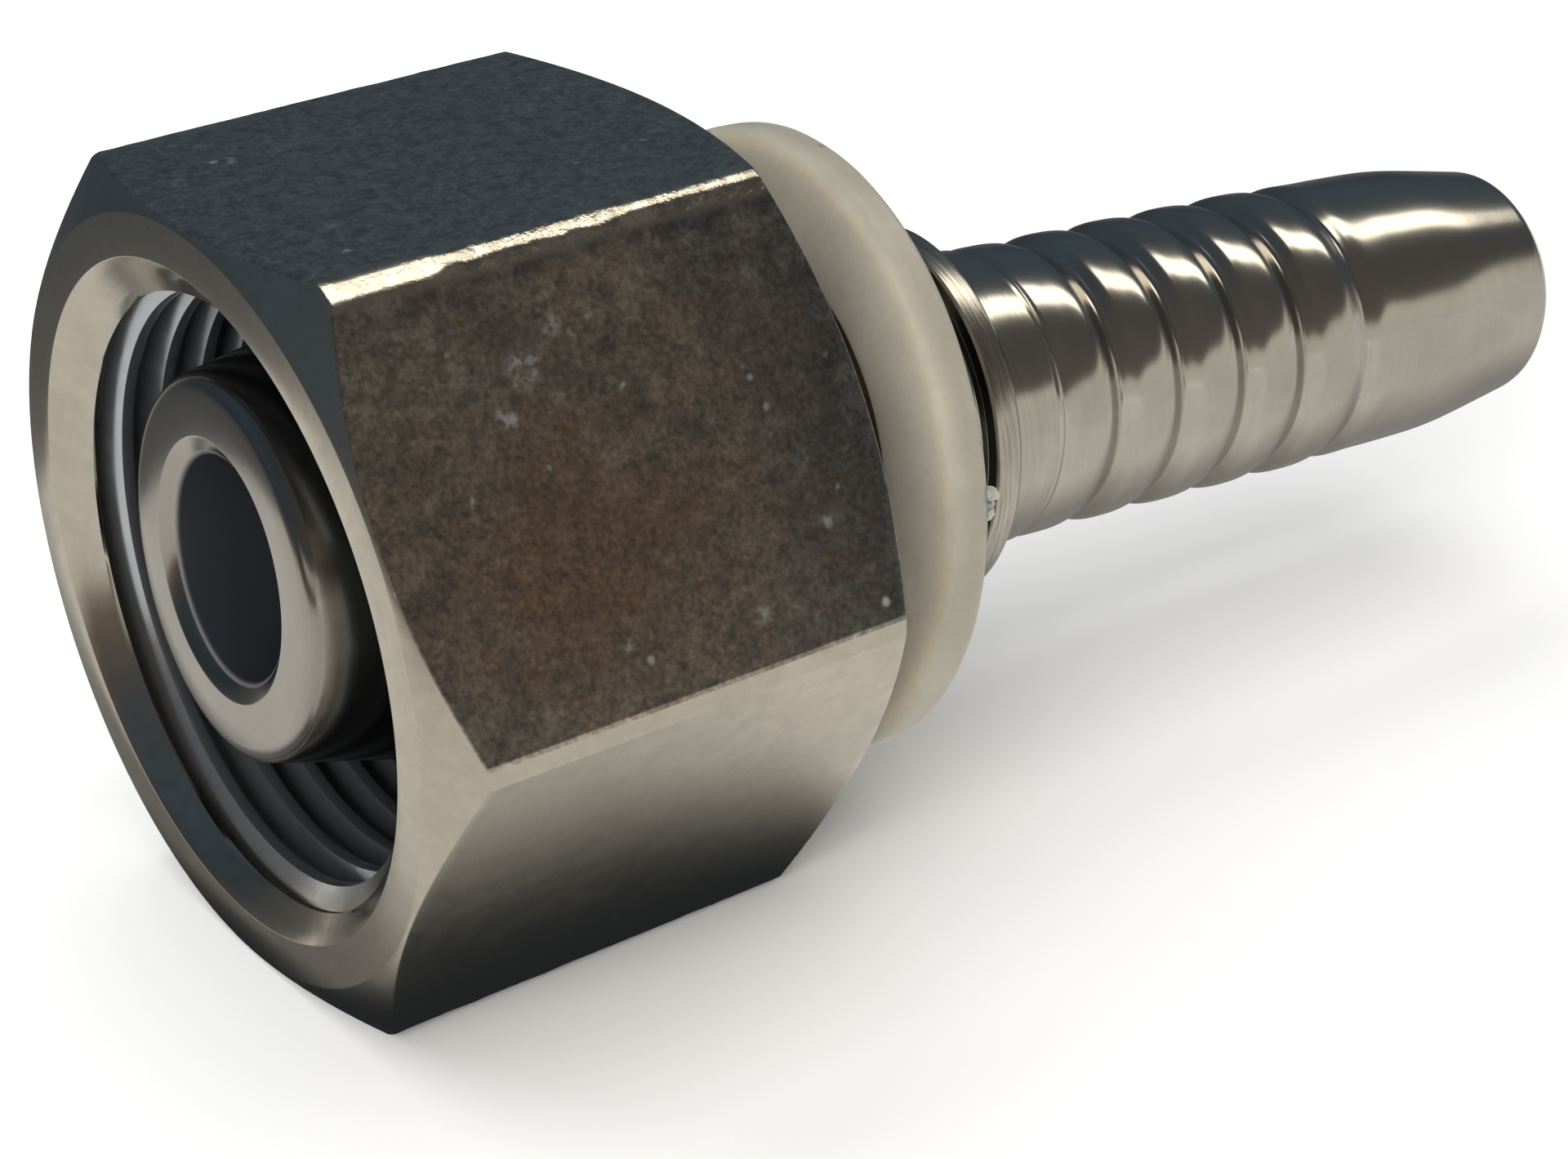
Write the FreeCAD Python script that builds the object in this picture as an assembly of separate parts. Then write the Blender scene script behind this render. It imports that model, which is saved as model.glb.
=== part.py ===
import FreeCAD, Part
import math
import os

# Hose-end press fitting: a hexagon union nut swivels on a barbed hose nipple, and a
# moulded retaining ring sits on the nipple's hub behind the nut.
# Frame: the origin is the centre of the nut's mouth face, on the common axis, +X runs
# towards the hose tail, +Z up. The fitting lies on one flat of the hexagon.
# Lengths in millimetres. Stations ..._x are measured from the nut's mouth face.

# ---- driving dimensions -------------------------------------------------------
# union nut
af = 27.0                 # across flats
corner_bevel_r = 15.39    # the six long corners are broken to this radius by a narrow flat
nut_len = 18.6
front_face_r = 13.35      # outer circle of the flat mouth face
front_chamfer_slope = 0.58    # axial mm per radial mm, a 30 degree cone
front_chamfer_r0 = 13.35
rear_face_r = 12.8
rear_chamfer_slope = 0.58
mouth_r = 11.86           # countersink at the mouth face
mouth_half_angle = 50.0   # of the countersink
thread_crest_r = 10.25    # M22 x 1.5, internal minor radius
thread_end_x = 8.8
relief_r = 11.2           # run-out groove behind the thread
relief_end_x = 10.6
seat_r0 = 9.8             # 45 degree shoulder seat, large end
seat_x0 = 11.9
rear_bore_r = 7.6         # runs loosely over the nipple's hub

# hose nipple
bore_r = 3.87
bore_chamfer_r = 4.55
bore_chamfer_len = 0.45
nose_x = 0.6
nose_r = 6.55             # where the 24 degree cone meets the nose face
nose_edge = 0.6           # rounding of the nose edge
cone_half_angle = 12.0
cone_end_x = 9.2
shoulder_r = 9.3
shoulder_end_x = 10.55
hub_r = 7.13
groove_x0 = 27.06         # narrow stop groove behind the hub
groove_x1 = 27.67
groove_r = 6.55
collar_r = 7.11
collar_x1 = 28.85
neck_r = 5.66
first_groove_x = 31.9     # shallow line groove
valley_x = [34.97, 38.0, 41.1, 44.1, 47.2]
land_r = 5.5
valley_r = 5.16
valley_half = 0.45
smooth_r = 5.43
smooth_end_x = 50.8
taper_x0 = 53.3
taper_r0 = 5.31
tip_r = 4.60
tip_x0 = 57.55
tail_end_x = 58.0
tail_end_r = 4.22

# retaining ring
ring_r = 11.6
ring_hole_r = 7.20
ring_hole_front_r = 7.85
ring_front_x = 22.15
ring_rear_x = 24.05
ring_edge = 0.45          # soft outer edges
ring_dish = 0.35          # the front face slopes back by this much to its rim

# the loose nipple lies tipped in the nut, its tail low and its nose high
axis_y0, axis_z0 = 0.50, 0.97            # its axis in the plane of the mouth
axis_slope_y, axis_slope_z = -0.0333, -0.0697   # per mm along X

thread_x0 = (mouth_r - thread_crest_r) / math.tan(math.radians(mouth_half_angle))


def V(x, r):
    return FreeCAD.Vector(x, r, 0)


def line(p, q):
    return Part.LineSegment(V(*p), V(*q)).toShape()


def arc(p, m, q):
    return Part.Arc(V(*p), V(*m), V(*q)).toShape()


def turned(path):
    """A solid of revolution about X. path is a closed list of points (x, r); a point
    given as a 4-tuple (x, r, mx, mr) is reached by an arc through (mx, mr)."""
    edges = []
    n = len(path)
    for i in range(n):
        p = path[i][:2]
        nxt = path[(i + 1) % n]
        q = nxt[:2]
        if abs(p[0] - q[0]) < 1e-9 and abs(p[1] - q[1]) < 1e-9:
            continue
        if len(nxt) == 4:
            edges.append(arc(p, (nxt[2], nxt[3]), q))
        else:
            edges.append(line(p, q))
    wire = Part.Wire(edges)
    face = Part.Face(wire)
    solid = face.revolve(FreeCAD.Vector(0, 0, 0), FreeCAD.Vector(1, 0, 0), 360)
    if solid.Volume < 0:
        solid.reverse()
    return solid


def prism(af_, corner_r, length):
    """Hexagon bar along X, flats facing +Z and -Z, corners broken by a narrow flat."""
    pts = []
    h = af_ / 2.0
    half_w = math.sqrt(corner_r ** 2 - h ** 2)      # half width of a flat up to the bevel
    for k in range(6):
        a = math.radians(90 + 60 * k)
        n = (math.cos(a), math.sin(a))
        t = (-n[1], n[0])
        for s in (-1, 1):
            pts.append((h * n[0] + s * half_w * t[0], h * n[1] + s * half_w * t[1]))
    vs = [FreeCAD.Vector(0, p[0], p[1]) for p in pts]
    wire = Part.makePolygon(vs + [vs[0]])
    return Part.Face(wire).extrude(FreeCAD.Vector(length, 0, 0))


def tipped(shape):
    """Moves a shape made along X on to the nipple's own axis."""
    d = FreeCAD.Vector(1, axis_slope_y, axis_slope_z)
    turn_ = FreeCAD.Rotation(FreeCAD.Vector(1, 0, 0), d)
    m = FreeCAD.Placement(FreeCAD.Vector(0, axis_y0, axis_z0), turn_).toMatrix()
    return shape.transformed(m)


def save(shape, name):
    os.makedirs("parts", exist_ok=True)
    if shape.ShapeType != "Solid":
        shape = shape.Solids[0] if len(shape.Solids) == 1 else shape
    if not shape.isValid():
        raise RuntimeError(name + " is not a valid solid")
    shape.exportStep("parts/" + name + ".step")
    b = shape.BoundBox
    print("%-16s %s vol %.1f mm3  x %.2f..%.2f  y %.2f..%.2f  z %.2f..%.2f" % (
        name, shape.ShapeType, shape.Volume, b.XMin, b.XMax, b.YMin, b.YMax, b.ZMin, b.ZMax))


# ---- union nut ----------------------------------------------------------------
big = 20.0
front_x = lambda r: front_chamfer_slope * (r - front_chamfer_r0)
rear_x = lambda r: nut_len - rear_chamfer_slope * (r - rear_face_r)
envelope = turned([
    (0.0, 0.0), (0.0, front_face_r), (front_x(big), big), (rear_x(big), big),
    (nut_len, rear_face_r), (nut_len, 0.0)])
hexagon = prism(af, corner_bevel_r, nut_len)
seat_r1 = rear_bore_r + 0.25
cavity = turned([
    (-1.0, 0.0), (-1.0, mouth_r), (0.0, mouth_r), (thread_x0, thread_crest_r),
    (thread_end_x, thread_crest_r), (thread_end_x + 0.5, relief_r),
    (relief_end_x, relief_r), (seat_x0, relief_r - 0.4), (seat_x0, seat_r0),
    (seat_x0 + (seat_r0 - rear_bore_r), rear_bore_r),
    (nut_len - 0.5, rear_bore_r), (nut_len, rear_bore_r + 0.5),
    (nut_len + 1.0, rear_bore_r + 0.5), (nut_len + 1.0, 0.0)])
swivel_nut = hexagon.common(envelope).cut(cavity)
save(swivel_nut, "swivel_nut")

# ---- hose nipple --------------------------------------------------------------
ca = math.radians(cone_half_angle)
cone_r1 = nose_r + (cone_end_x - nose_x) * math.tan(ca)
# nose edge: an arc between the nose face and the cone
turn = math.pi / 2 - ca
td = nose_edge * math.tan(turn / 2)
ax0, ar0 = nose_x, nose_r - td
ax1, ar1 = nose_x + td * math.cos(ca), nose_r + td * math.sin(ca)
ccx, ccr = nose_x + nose_edge, nose_r - td
am = math.radians(180 - (90 - cone_half_angle) / 2.0)
amx, amr = ccx + nose_edge * math.cos(am), ccr + nose_edge * math.sin(am)
path = [
    (nose_x, bore_chamfer_r), (ax0, ar0), (ax1, ar1, amx, amr),
    (cone_end_x, cone_r1), (cone_end_x, shoulder_r - 0.3), (cone_end_x + 0.3, shoulder_r),
    (shoulder_end_x, shoulder_r), (shoulder_end_x + (shoulder_r - hub_r), hub_r),
    (groove_x0 - 0.12, hub_r), (groove_x0, hub_r - 0.12), (groove_x0, groove_r),
    (groove_x1, groove_r), (groove_x1, collar_r - 0.1), (groove_x1 + 0.1, collar_r),
    (collar_x1 - 0.15, collar_r), (collar_x1, collar_r - 0.15), (collar_x1, neck_r + 0.25),
    (collar_x1 + 0.25, neck_r, collar_x1 + 0.073, neck_r + 0.073)]
# shallow line groove
path += [(first_groove_x - 0.25, neck_r),
         (first_groove_x + 0.25, land_r, first_groove_x, land_r - 0.1)]
for v in valley_x:
    after = land_r if v != valley_x[-1] else smooth_r
    path += [(v - valley_half, land_r), (v + valley_half, after, v, valley_r)]
path += [(smooth_end_x, smooth_r), (taper_x0, taper_r0), (tip_x0, tip_r),
         (tail_end_x, tail_end_r, tip_x0 + 0.30, tip_r - 0.11),
         (tail_end_x, bore_r + 0.12), (tail_end_x - 0.12, bore_r),
         (nose_x + bore_chamfer_len, bore_r)]
hose_nipple = tipped(turned(path))
save(hose_nipple, "hose_nipple")

# ---- retaining ring -----------------------------------------------------------
e = ring_edge
k = e * (1 - math.sqrt(0.5))
fx1 = ring_front_x + ring_dish
retaining_ring = tipped(turned([
    (ring_front_x, ring_hole_front_r), (fx1, ring_r - e),
    (fx1 + e, ring_r, fx1 + k, ring_r - k),
    (ring_rear_x - e, ring_r), (ring_rear_x, ring_r - e, ring_rear_x - k, ring_r - k),
    (ring_rear_x, ring_hole_r + 0.25), (ring_rear_x - 0.25, ring_hole_r),
    (ring_front_x + 0.7, ring_hole_r)]))
save(retaining_ring, "retaining_ring")
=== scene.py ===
import math
import random

import bpy
import bmesh
from mathutils import Matrix, Vector, noise


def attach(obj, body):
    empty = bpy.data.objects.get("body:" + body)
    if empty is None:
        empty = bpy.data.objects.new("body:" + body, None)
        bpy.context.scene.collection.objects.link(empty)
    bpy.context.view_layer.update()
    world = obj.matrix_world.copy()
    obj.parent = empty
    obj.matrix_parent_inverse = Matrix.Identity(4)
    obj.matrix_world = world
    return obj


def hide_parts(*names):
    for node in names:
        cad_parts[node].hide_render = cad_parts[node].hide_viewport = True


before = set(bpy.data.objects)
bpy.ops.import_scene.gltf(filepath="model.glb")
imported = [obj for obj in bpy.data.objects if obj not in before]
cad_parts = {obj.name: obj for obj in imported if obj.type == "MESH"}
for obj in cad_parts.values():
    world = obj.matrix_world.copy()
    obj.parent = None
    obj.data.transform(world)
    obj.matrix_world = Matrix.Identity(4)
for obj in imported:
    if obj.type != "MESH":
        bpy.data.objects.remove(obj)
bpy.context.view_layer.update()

MM = 0.001
rng = random.Random(7)

# ------------------------------------------------------------------ dimensions (mm)
AF = 27.0
NUT_LEN = 18.6
CORNER_R = 15.39
FACE_R = 13.35            # outer circle of the flat mouth face
REAR_R = 12.8
SLOPE = 0.58              # 30 degree chamfers, axial mm per radial mm
MOUTH_R = 11.86
CREST_R = 10.25           # M22 x 1.5 internal thread
ROOT_R = 11.03
PITCH = 1.5
PHASE = 0.70
THREAD_END = 8.8
RELIEF_R = 11.2
RELIEF_END = 10.6
SEAT_X, SEAT_R = 11.9, 9.8
BORE_R = 7.6

# the nipple's own axis: it lies tipped in the nut, tail low
AXIS_O = Vector((0.0, 0.50, 0.97))
AXIS_D = Vector((1.0, -0.0333, -0.0697)).normalized()
TIP = Vector((1, 0, 0)).rotation_difference(AXIS_D).to_matrix()


# ------------------------------------------------------------------ mesh helpers
def rounded(points, steps=4):
    """Polyline of (x, r, fillet) with each corner replaced by an arc; an open path."""
    out = []
    n = len(points)
    for i, p in enumerate(points):
        x, r, f = p
        if f <= 0 or i == 0 or i == n - 1:
            out.append((x, r))
            continue
        a = Vector((points[i - 1][0] - x, points[i - 1][1] - r))
        b = Vector((points[i + 1][0] - x, points[i + 1][1] - r))
        la, lb = a.length, b.length
        a.normalize()
        b.normalize()
        ang = a.angle(b)
        if ang > math.pi - 0.02:
            out.append((x, r))
            continue
        t = min(f / math.tan(ang / 2), la * 0.49, lb * 0.49)
        f2 = t * math.tan(ang / 2)
        c = Vector((x, r)) + (a + b).normalized() * (f2 / math.sin(ang / 2))
        p0 = Vector((x, r)) + a * t
        p1 = Vector((x, r)) + b * t
        v0, v1 = p0 - c, p1 - c
        a0 = math.atan2(v0.y, v0.x)
        d = math.atan2(v1.y, v1.x) - a0
        while d > math.pi:
            d -= 2 * math.pi
        while d < -math.pi:
            d += 2 * math.pi
        k = max(2, int(abs(d) / math.radians(90) * steps + 0.5) + 1)
        for j in range(k + 1):
            q = a0 + d * j / k
            out.append((c.x + f2 * math.cos(q), c.y + f2 * math.sin(q)))
    clean = [out[0]]
    for p in out[1:]:
        if abs(p[0] - clean[-1][0]) + abs(p[1] - clean[-1][1]) > 1e-5:
            clean.append(p)
    return clean


def split_long(path, longest):
    out = [path[0]]
    for p, q in zip(path, path[1:]):
        d = math.hypot(q[0] - p[0], q[1] - p[1])
        k = max(1, int(math.ceil(d / longest)))
        for j in range(1, k + 1):
            out.append((p[0] + (q[0] - p[0]) * j / k, p[1] + (q[1] - p[1]) * j / k))
    return out


def new_object(name, verts, faces, mat, smooth_angle=32.0, weighted=True):
    me = bpy.data.meshes.new(name)
    me.from_pydata([tuple(Vector(v) * MM) for v in verts], [], faces)
    me.validate()
    bm = bmesh.new()
    bm.from_mesh(me)
    bmesh.ops.remove_doubles(bm, verts=bm.verts, dist=1.5e-6)
    bmesh.ops.dissolve_degenerate(bm, edges=bm.edges, dist=1e-7)
    bmesh.ops.recalc_face_normals(bm, faces=bm.faces)
    bm.to_mesh(me)
    bm.free()
    me.polygons.foreach_set("use_smooth", [True] * len(me.polygons))
    me.set_sharp_from_angle(angle=math.radians(smooth_angle))
    ob = bpy.data.objects.new(name, me)
    bpy.context.scene.collection.objects.link(ob)
    me.materials.append(mat)
    if weighted:
        w = ob.modifiers.new("weighted", "WEIGHTED_NORMAL")
        w.keep_sharp = True
        w.weight = 50
    return ob


def lathe(name, path, cols, mat, place=None, closed=True, wobble=None, extra=None):
    """Surface of revolution of a closed (x, r) loop about X."""
    verts, faces = [], []
    n = len(path)
    for i in range(cols):
        a = 2 * math.pi * i / cols
        for j, (x, r) in enumerate(path):
            if wobble:
                x, r = wobble(j, x, r, a)
            p = Vector((x, r * math.cos(a), r * math.sin(a)))
            if place:
                p = place(p)
            verts.append(p)
    rows = n if closed else n - 1
    for i in range(cols):
        k = (i + 1) % cols
        for j in range(rows):
            m = (j + 1) % n
            faces.append((i * n + j, i * n + m, k * n + m, k * n + j))
    for ev, ef in extra or []:
        base = len(verts)
        verts += ev
        faces += [tuple(base + q for q in f) for f in ef]
    return new_object(name, verts, faces, mat, 32.0, False)


def tipped(p):
    return AXIS_O + TIP @ p


# ------------------------------------------------------------------ node helpers
class Tree:
    def __init__(self, name, surface=True):
        self.mat = bpy.data.materials.new(name)
        self.mat.use_nodes = True
        self.nt = self.mat.node_tree
        self.nt.nodes.clear()
        self.out = self.nt.nodes.new("ShaderNodeOutputMaterial")
        self.b = self.nt.nodes.new("ShaderNodeBsdfPrincipled")
        self.link(self.b.outputs[0], self.out.inputs["Surface"])
        self.co = self.nt.nodes.new("ShaderNodeTexCoord").outputs["Object"]

    def link(self, a, b):
        self.nt.links.new(a, b)

    def put(self, sock, v):
        if isinstance(v, bpy.types.NodeSocket):
            self.link(v, sock)
        else:
            sock.default_value = v

    def mapping(self, v, scale=(1, 1, 1), loc=(0, 0, 0), rot=(0, 0, 0)):
        m = self.nt.nodes.new("ShaderNodeMapping")
        self.link(v, m.inputs["Vector"])
        m.inputs["Scale"].default_value = scale
        m.inputs["Location"].default_value = loc
        m.inputs["Rotation"].default_value = rot
        return m.outputs[0]

    def noise(self, v, scale, detail=4.0, rough=0.55, dist=0.0, lac=2.0, out="Fac"):
        t = self.nt.nodes.new("ShaderNodeTexNoise")
        self.link(v, t.inputs["Vector"])
        t.inputs["Scale"].default_value = scale
        t.inputs["Detail"].default_value = detail
        t.inputs["Roughness"].default_value = rough
        t.inputs["Lacunarity"].default_value = lac
        t.inputs["Distortion"].default_value = dist
        return t.outputs[out]

    def voronoi(self, v, scale, feature="F1", rand=1.0, out="Distance"):
        t = self.nt.nodes.new("ShaderNodeTexVoronoi")
        t.feature = feature
        self.link(v, t.inputs["Vector"])
        t.inputs["Scale"].default_value = scale
        t.inputs["Randomness"].default_value = rand
        return t.outputs[out]

    def ramp(self, v, stops, mode="LINEAR"):
        r = self.nt.nodes.new("ShaderNodeValToRGB")
        r.color_ramp.interpolation = mode
        e = r.color_ramp.elements
        while len(e) < len(stops):
            e.new(0.5)
        for el, (p, c) in zip(e, stops):
            el.position = p
            if not hasattr(c, "__len__"):
                c = (c, c, c, 1)
            el.color = tuple(c) if len(c) == 4 else tuple(c) + (1,)
        self.link(v, r.inputs["Fac"])
        return r.outputs["Color"]

    def math(self, op, a, b=0.0, c=0.0, clamp=False):
        m = self.nt.nodes.new("ShaderNodeMath")
        m.operation = op
        m.use_clamp = clamp
        self.put(m.inputs[0], a)
        self.put(m.inputs[1], b)
        self.put(m.inputs[2], c)
        return m.outputs[0]

    def vmath(self, op, a, b=(0, 0, 0), out=0):
        m = self.nt.nodes.new("ShaderNodeVectorMath")
        m.operation = op
        self.put(m.inputs[0], a)
        self.put(m.inputs[1], b)
        return m.outputs[out]

    def mix(self, fac, a, b, mode="MIX"):
        m = self.nt.nodes.new("ShaderNodeMix")
        m.data_type = "RGBA"
        m.blend_type = mode
        self.put(m.inputs[0], fac)
        for s, v in ((m.inputs[6], a), (m.inputs[7], b)):
            if isinstance(v, bpy.types.NodeSocket):
                self.link(v, s)
            else:
                s.default_value = tuple(v) + (1,) if len(v) == 3 else v
        return m.outputs[2]

    def combine(self, x, y, z):
        m = self.nt.nodes.new("ShaderNodeCombineXYZ")
        self.put(m.inputs[0], x)
        self.put(m.inputs[1], y)
        self.put(m.inputs[2], z)
        return m.outputs[0]

    def separate(self, v):
        m = self.nt.nodes.new("ShaderNodeSeparateXYZ")
        self.link(v, m.inputs[0])
        return m.outputs

    def bump(self, height, strength, dist, normal=None):
        m = self.nt.nodes.new("ShaderNodeBump")
        m.inputs["Strength"].default_value = strength
        m.inputs["Distance"].default_value = dist
        self.put(m.inputs["Height"], height)
        if normal:
            self.link(normal, m.inputs["Normal"])
        return m.outputs[0]


# places and sizes (mm) of small pale rubs on the upper flats
RUBS = [(6.6, -9.75, 10.1, 0.95), (5.6, -10.4, 9.0, 0.60), (7.0, -14.33, 2.2, 0.42),
        (12.0, -14.58, 1.75, 0.50), (8.0, -9.25, 11.0, 0.50), (9.5, -9.27, 10.95, 0.35), (15.3, -13.5, 3.6, 0.4),
        (3.9, -3.4, 13.5, 0.38), (2.0, 3.3, 13.5, 0.3), (14.9, -3.3, 13.5, 0.3)]


def steel_nut():
    t = Tree("nut_steel_worn")
    co = t.co
    x, y, z = t.separate(co)[:3]
    rho = t.vmath("LENGTH", t.combine(0.0, y, z), out=1)
    bore = t.ramp(t.math("MULTIPLY", rho, 50.0), [(0.60, 1.0), (0.66, 0.0)])      # inside of r 13
    arris = t.ramp(t.math("MULTIPLY", rho, 50.0), [(0.757, 0.0), (0.766, 1.0)])    # broken corners, the upper ones
    arris = t.math("MULTIPLY", arris, t.math("GREATER_THAN", z, 0.006))
    # drawn-bar streaks along X on the flats, cutting marks on the turned faces
    streak = t.noise(t.mapping(co, scale=(70, 1500, 1500)), 1.0, 3.0, 0.6)
    rings = t.noise(t.combine(t.math("MULTIPLY", rho, 5200), t.math("MULTIPLY", x, 2600), 0.0), 1.0, 2.5, 0.6)
    cloud = t.noise(t.mapping(co, loc=(3, 1, 2)), 120, 3.0, 0.55, 0.3)
    blot = t.noise(co, 620, 5.0, 0.62, 0.8)
    grain = t.noise(t.mapping(co, loc=(5, 2, 9)), 2300, 3.0, 0.6)
    tone = t.math("ADD", t.math("MULTIPLY", blot, 0.65), t.math("MULTIPLY", grain, 0.35))
    col = t.ramp(tone, [(0.30, (0.375, 0.343, 0.288)), (0.50, (0.430, 0.396, 0.335)), (0.70, (0.48, 0.446, 0.38))])
    col = t.mix(t.ramp(cloud, [(0.38, 0.0), (0.68, 0.5)]), col, (0.385, 0.362, 0.315))
    # oily brown film on one flat, thinning out towards its rim
    d = t.vmath("LENGTH", t.vmath("MULTIPLY", t.vmath("SUBTRACT", co, (0.0065, -0.0125, 0.0050)),
                                  (0.62, 1.2, 0.80)), out=1)
    d = t.math("ADD", t.math("MULTIPLY", d, 100.0), t.math("MULTIPLY", cloud, 1.1))
    d = t.math("ADD", d, t.math("MULTIPLY", blot, 0.5))
    film = t.ramp(t.math("MULTIPLY", d, 0.5), [(0.47, 1.0), (0.80, 0.0)])
    side = t.math("SUBTRACT", t.math("MULTIPLY", z, 0.5), t.math("MULTIPLY", y, 0.8660254))
    film = t.math("MULTIPLY", film, t.math("GREATER_THAN", side, 0.01345))
    filmcol = t.ramp(tone, [(0.34, (0.25, 0.155, 0.10)), (0.52, (0.355, 0.232, 0.162)), (0.70, (0.45, 0.32, 0.24))])
    col = t.mix(t.math("MULTIPLY", film, 0.92), col, filmcol)
    # fine dark mottling, grey scuffs round the film's rim
    off = t.math("SUBTRACT", 1.0, bore)
    far = t.math("ADD", t.math("MULTIPLY", z, 0.5), t.math("MULTIPLY", y, 0.8660254))
    flats = t.math("GREATER_THAN", t.math("MAXIMUM", t.math("MAXIMUM", side, far), z), 0.01345)
    flats = t.math("ADD", t.math("MULTIPLY", flats, 0.95), 0.05)                 # the lower ones are cleaner
    off = t.math("MULTIPLY", off, flats)
    dirt = t.ramp(t.noise(t.mapping(co, loc=(1, 8, 2)), 1700, 4.0, 0.66, 0.3), [(0.44, 0.0), (0.70, 0.50)])
    edge_in = t.math("ADD", t.math("MULTIPLY", x, 50.0), t.math("MULTIPLY", t.math("SUBTRACT", blot, 0.5), 0.35))
    dark_end = t.math("MULTIPLY", t.ramp(edge_in, [(0.60, 0.0), (0.85, 0.92)]), t.math("GREATER_THAN", side, 0.01345))
    col = t.mix(dark_end, col, t.ramp(tone, [(0.36, (0.075, 0.076, 0.080)), (0.52, (0.16, 0.162, 0.165)), (0.66, (0.30, 0.30, 0.30))]))
    col = t.mix(t.math("MULTIPLY", dirt, off), col, (0.22, 0.195, 0.17))
    scuff = t.ramp(t.noise(t.mapping(co, loc=(4, 4, 4)), 900, 4.0, 0.66, 0.3), [(0.52, 0.0), (0.72, 0.55)])
    scuff = t.math("MULTIPLY", t.math("MULTIPLY", scuff, off), t.math("SUBTRACT", 1.0, t.math("MULTIPLY", film, 0.8)))
    col = t.mix(scuff, col, (0.56, 0.545, 0.51))
    col = t.mix(t.math("MULTIPLY", dirt, off), col, (0.16, 0.135, 0.115))
    onside = t.math("GREATER_THAN", side, 0.01345)
    stain = t.ramp(t.noise(t.mapping(co, loc=(6, 2, 5)), 430, 5.0, 0.70, 0.4), [(0.46, 0.0), (0.60, 0.62)])
    stain = t.math("MULTIPLY", t.math("MULTIPLY", stain, onside), t.math("SUBTRACT", 1.0, t.math("MULTIPLY", film, 0.75)))
    col = t.mix(stain, col, (0.13, 0.125, 0.125))
    under = t.math("ADD", t.math("MULTIPLY", z, 50.0), t.math("MULTIPLY", t.math("SUBTRACT", blot, 0.5), 0.09))
    under = t.math("MULTIPLY", t.ramp(under, [(0.610, 0.0), (0.640, 0.85)]), onside)
    under = t.math("MULTIPLY", under, t.ramp(t.math("MULTIPLY", x, 50.0), [(0.20, 0.25), (0.32, 1.0)]))
    col = t.mix(under, col, (0.12, 0.12, 0.125))
    fine = t.ramp(t.noise(t.mapping(co, loc=(9, 1, 4)), 4800, 3.0, 0.62), [(0.34, (0.70, 0.70, 0.72)), (0.5, (1.0, 1.0, 1.0)), (0.66, (1.34, 1.32, 1.28))])
    col = t.mix(t.math("MULTIPLY", off, 0.9), col, fine, "MULTIPLY")
    # small bright rubs and rust pricks
    speck = t.voronoi(co, 1050)
    pin = t.ramp(speck, [(0.0, 1.0), (0.12, 0.7), (0.22, 0.0)])
    pick = t.ramp(t.noise(co, 480, 2.0), [(0.60, 0.0), (0.66, 1.0)])
    pin = t.math("MULTIPLY", t.math("MULTIPLY", pin, pick), off)
    col = t.mix(t.math("MULTIPLY", pin, 0.8), col, (0.80, 0.80, 0.78))
    # pale rubs at the places where the metal was knocked
    for px, py, pz, pr in RUBS:
        dd = t.vmath("LENGTH", t.vmath("SUBTRACT", co, (px * MM, py * MM, pz * MM)), out=1)
        dd = t.math("ADD", t.math("MULTIPLY", dd, 1000.0 / pr), t.math("MULTIPLY", blot, 1.2))
        hit = t.math("MULTIPLY", t.ramp(t.math("MULTIPLY", dd, 0.5), [(0.42, 1.0), (0.72, 0.0)]),
                     t.ramp(grain, [(0.44, 0.15), (0.56, 1.0)]))
        col = t.mix(t.math("MULTIPLY", hit, 0.42), col, (0.74, 0.78, 0.82))
        pin = t.math("MAXIMUM", pin, t.math("MULTIPLY", hit, 0.5))
    rust = t.ramp(t.noise(t.mapping(co, loc=(7, 5, 1)), 1250, 3.0, 0.6), [(0.665, 0.0), (0.72, 0.7)])
    col = t.mix(t.math("MULTIPLY", rust, off), col, (0.30, 0.13, 0.06))
    col = t.mix(t.math("MULTIPLY", arris, 0.8), col, (0.52, 0.48, 0.41))
    # the broken corners are bruised along the tail end of the nut
    bruise = t.ramp(t.noise(t.mapping(co, scale=(1100, 900, 900)), 1.0, 4.0, 0.7), [(0.42, 0.0), (0.60, 1.0)])
    bruise = t.math("MULTIPLY", t.math("MULTIPLY", bruise, arris),
                    t.ramp(t.math("MULTIPLY", x, 50.0), [(0.20, 0.34), (0.34, 0.62)]))
    col = t.mix(bruise, col, (0.17, 0.155, 0.13))
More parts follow.
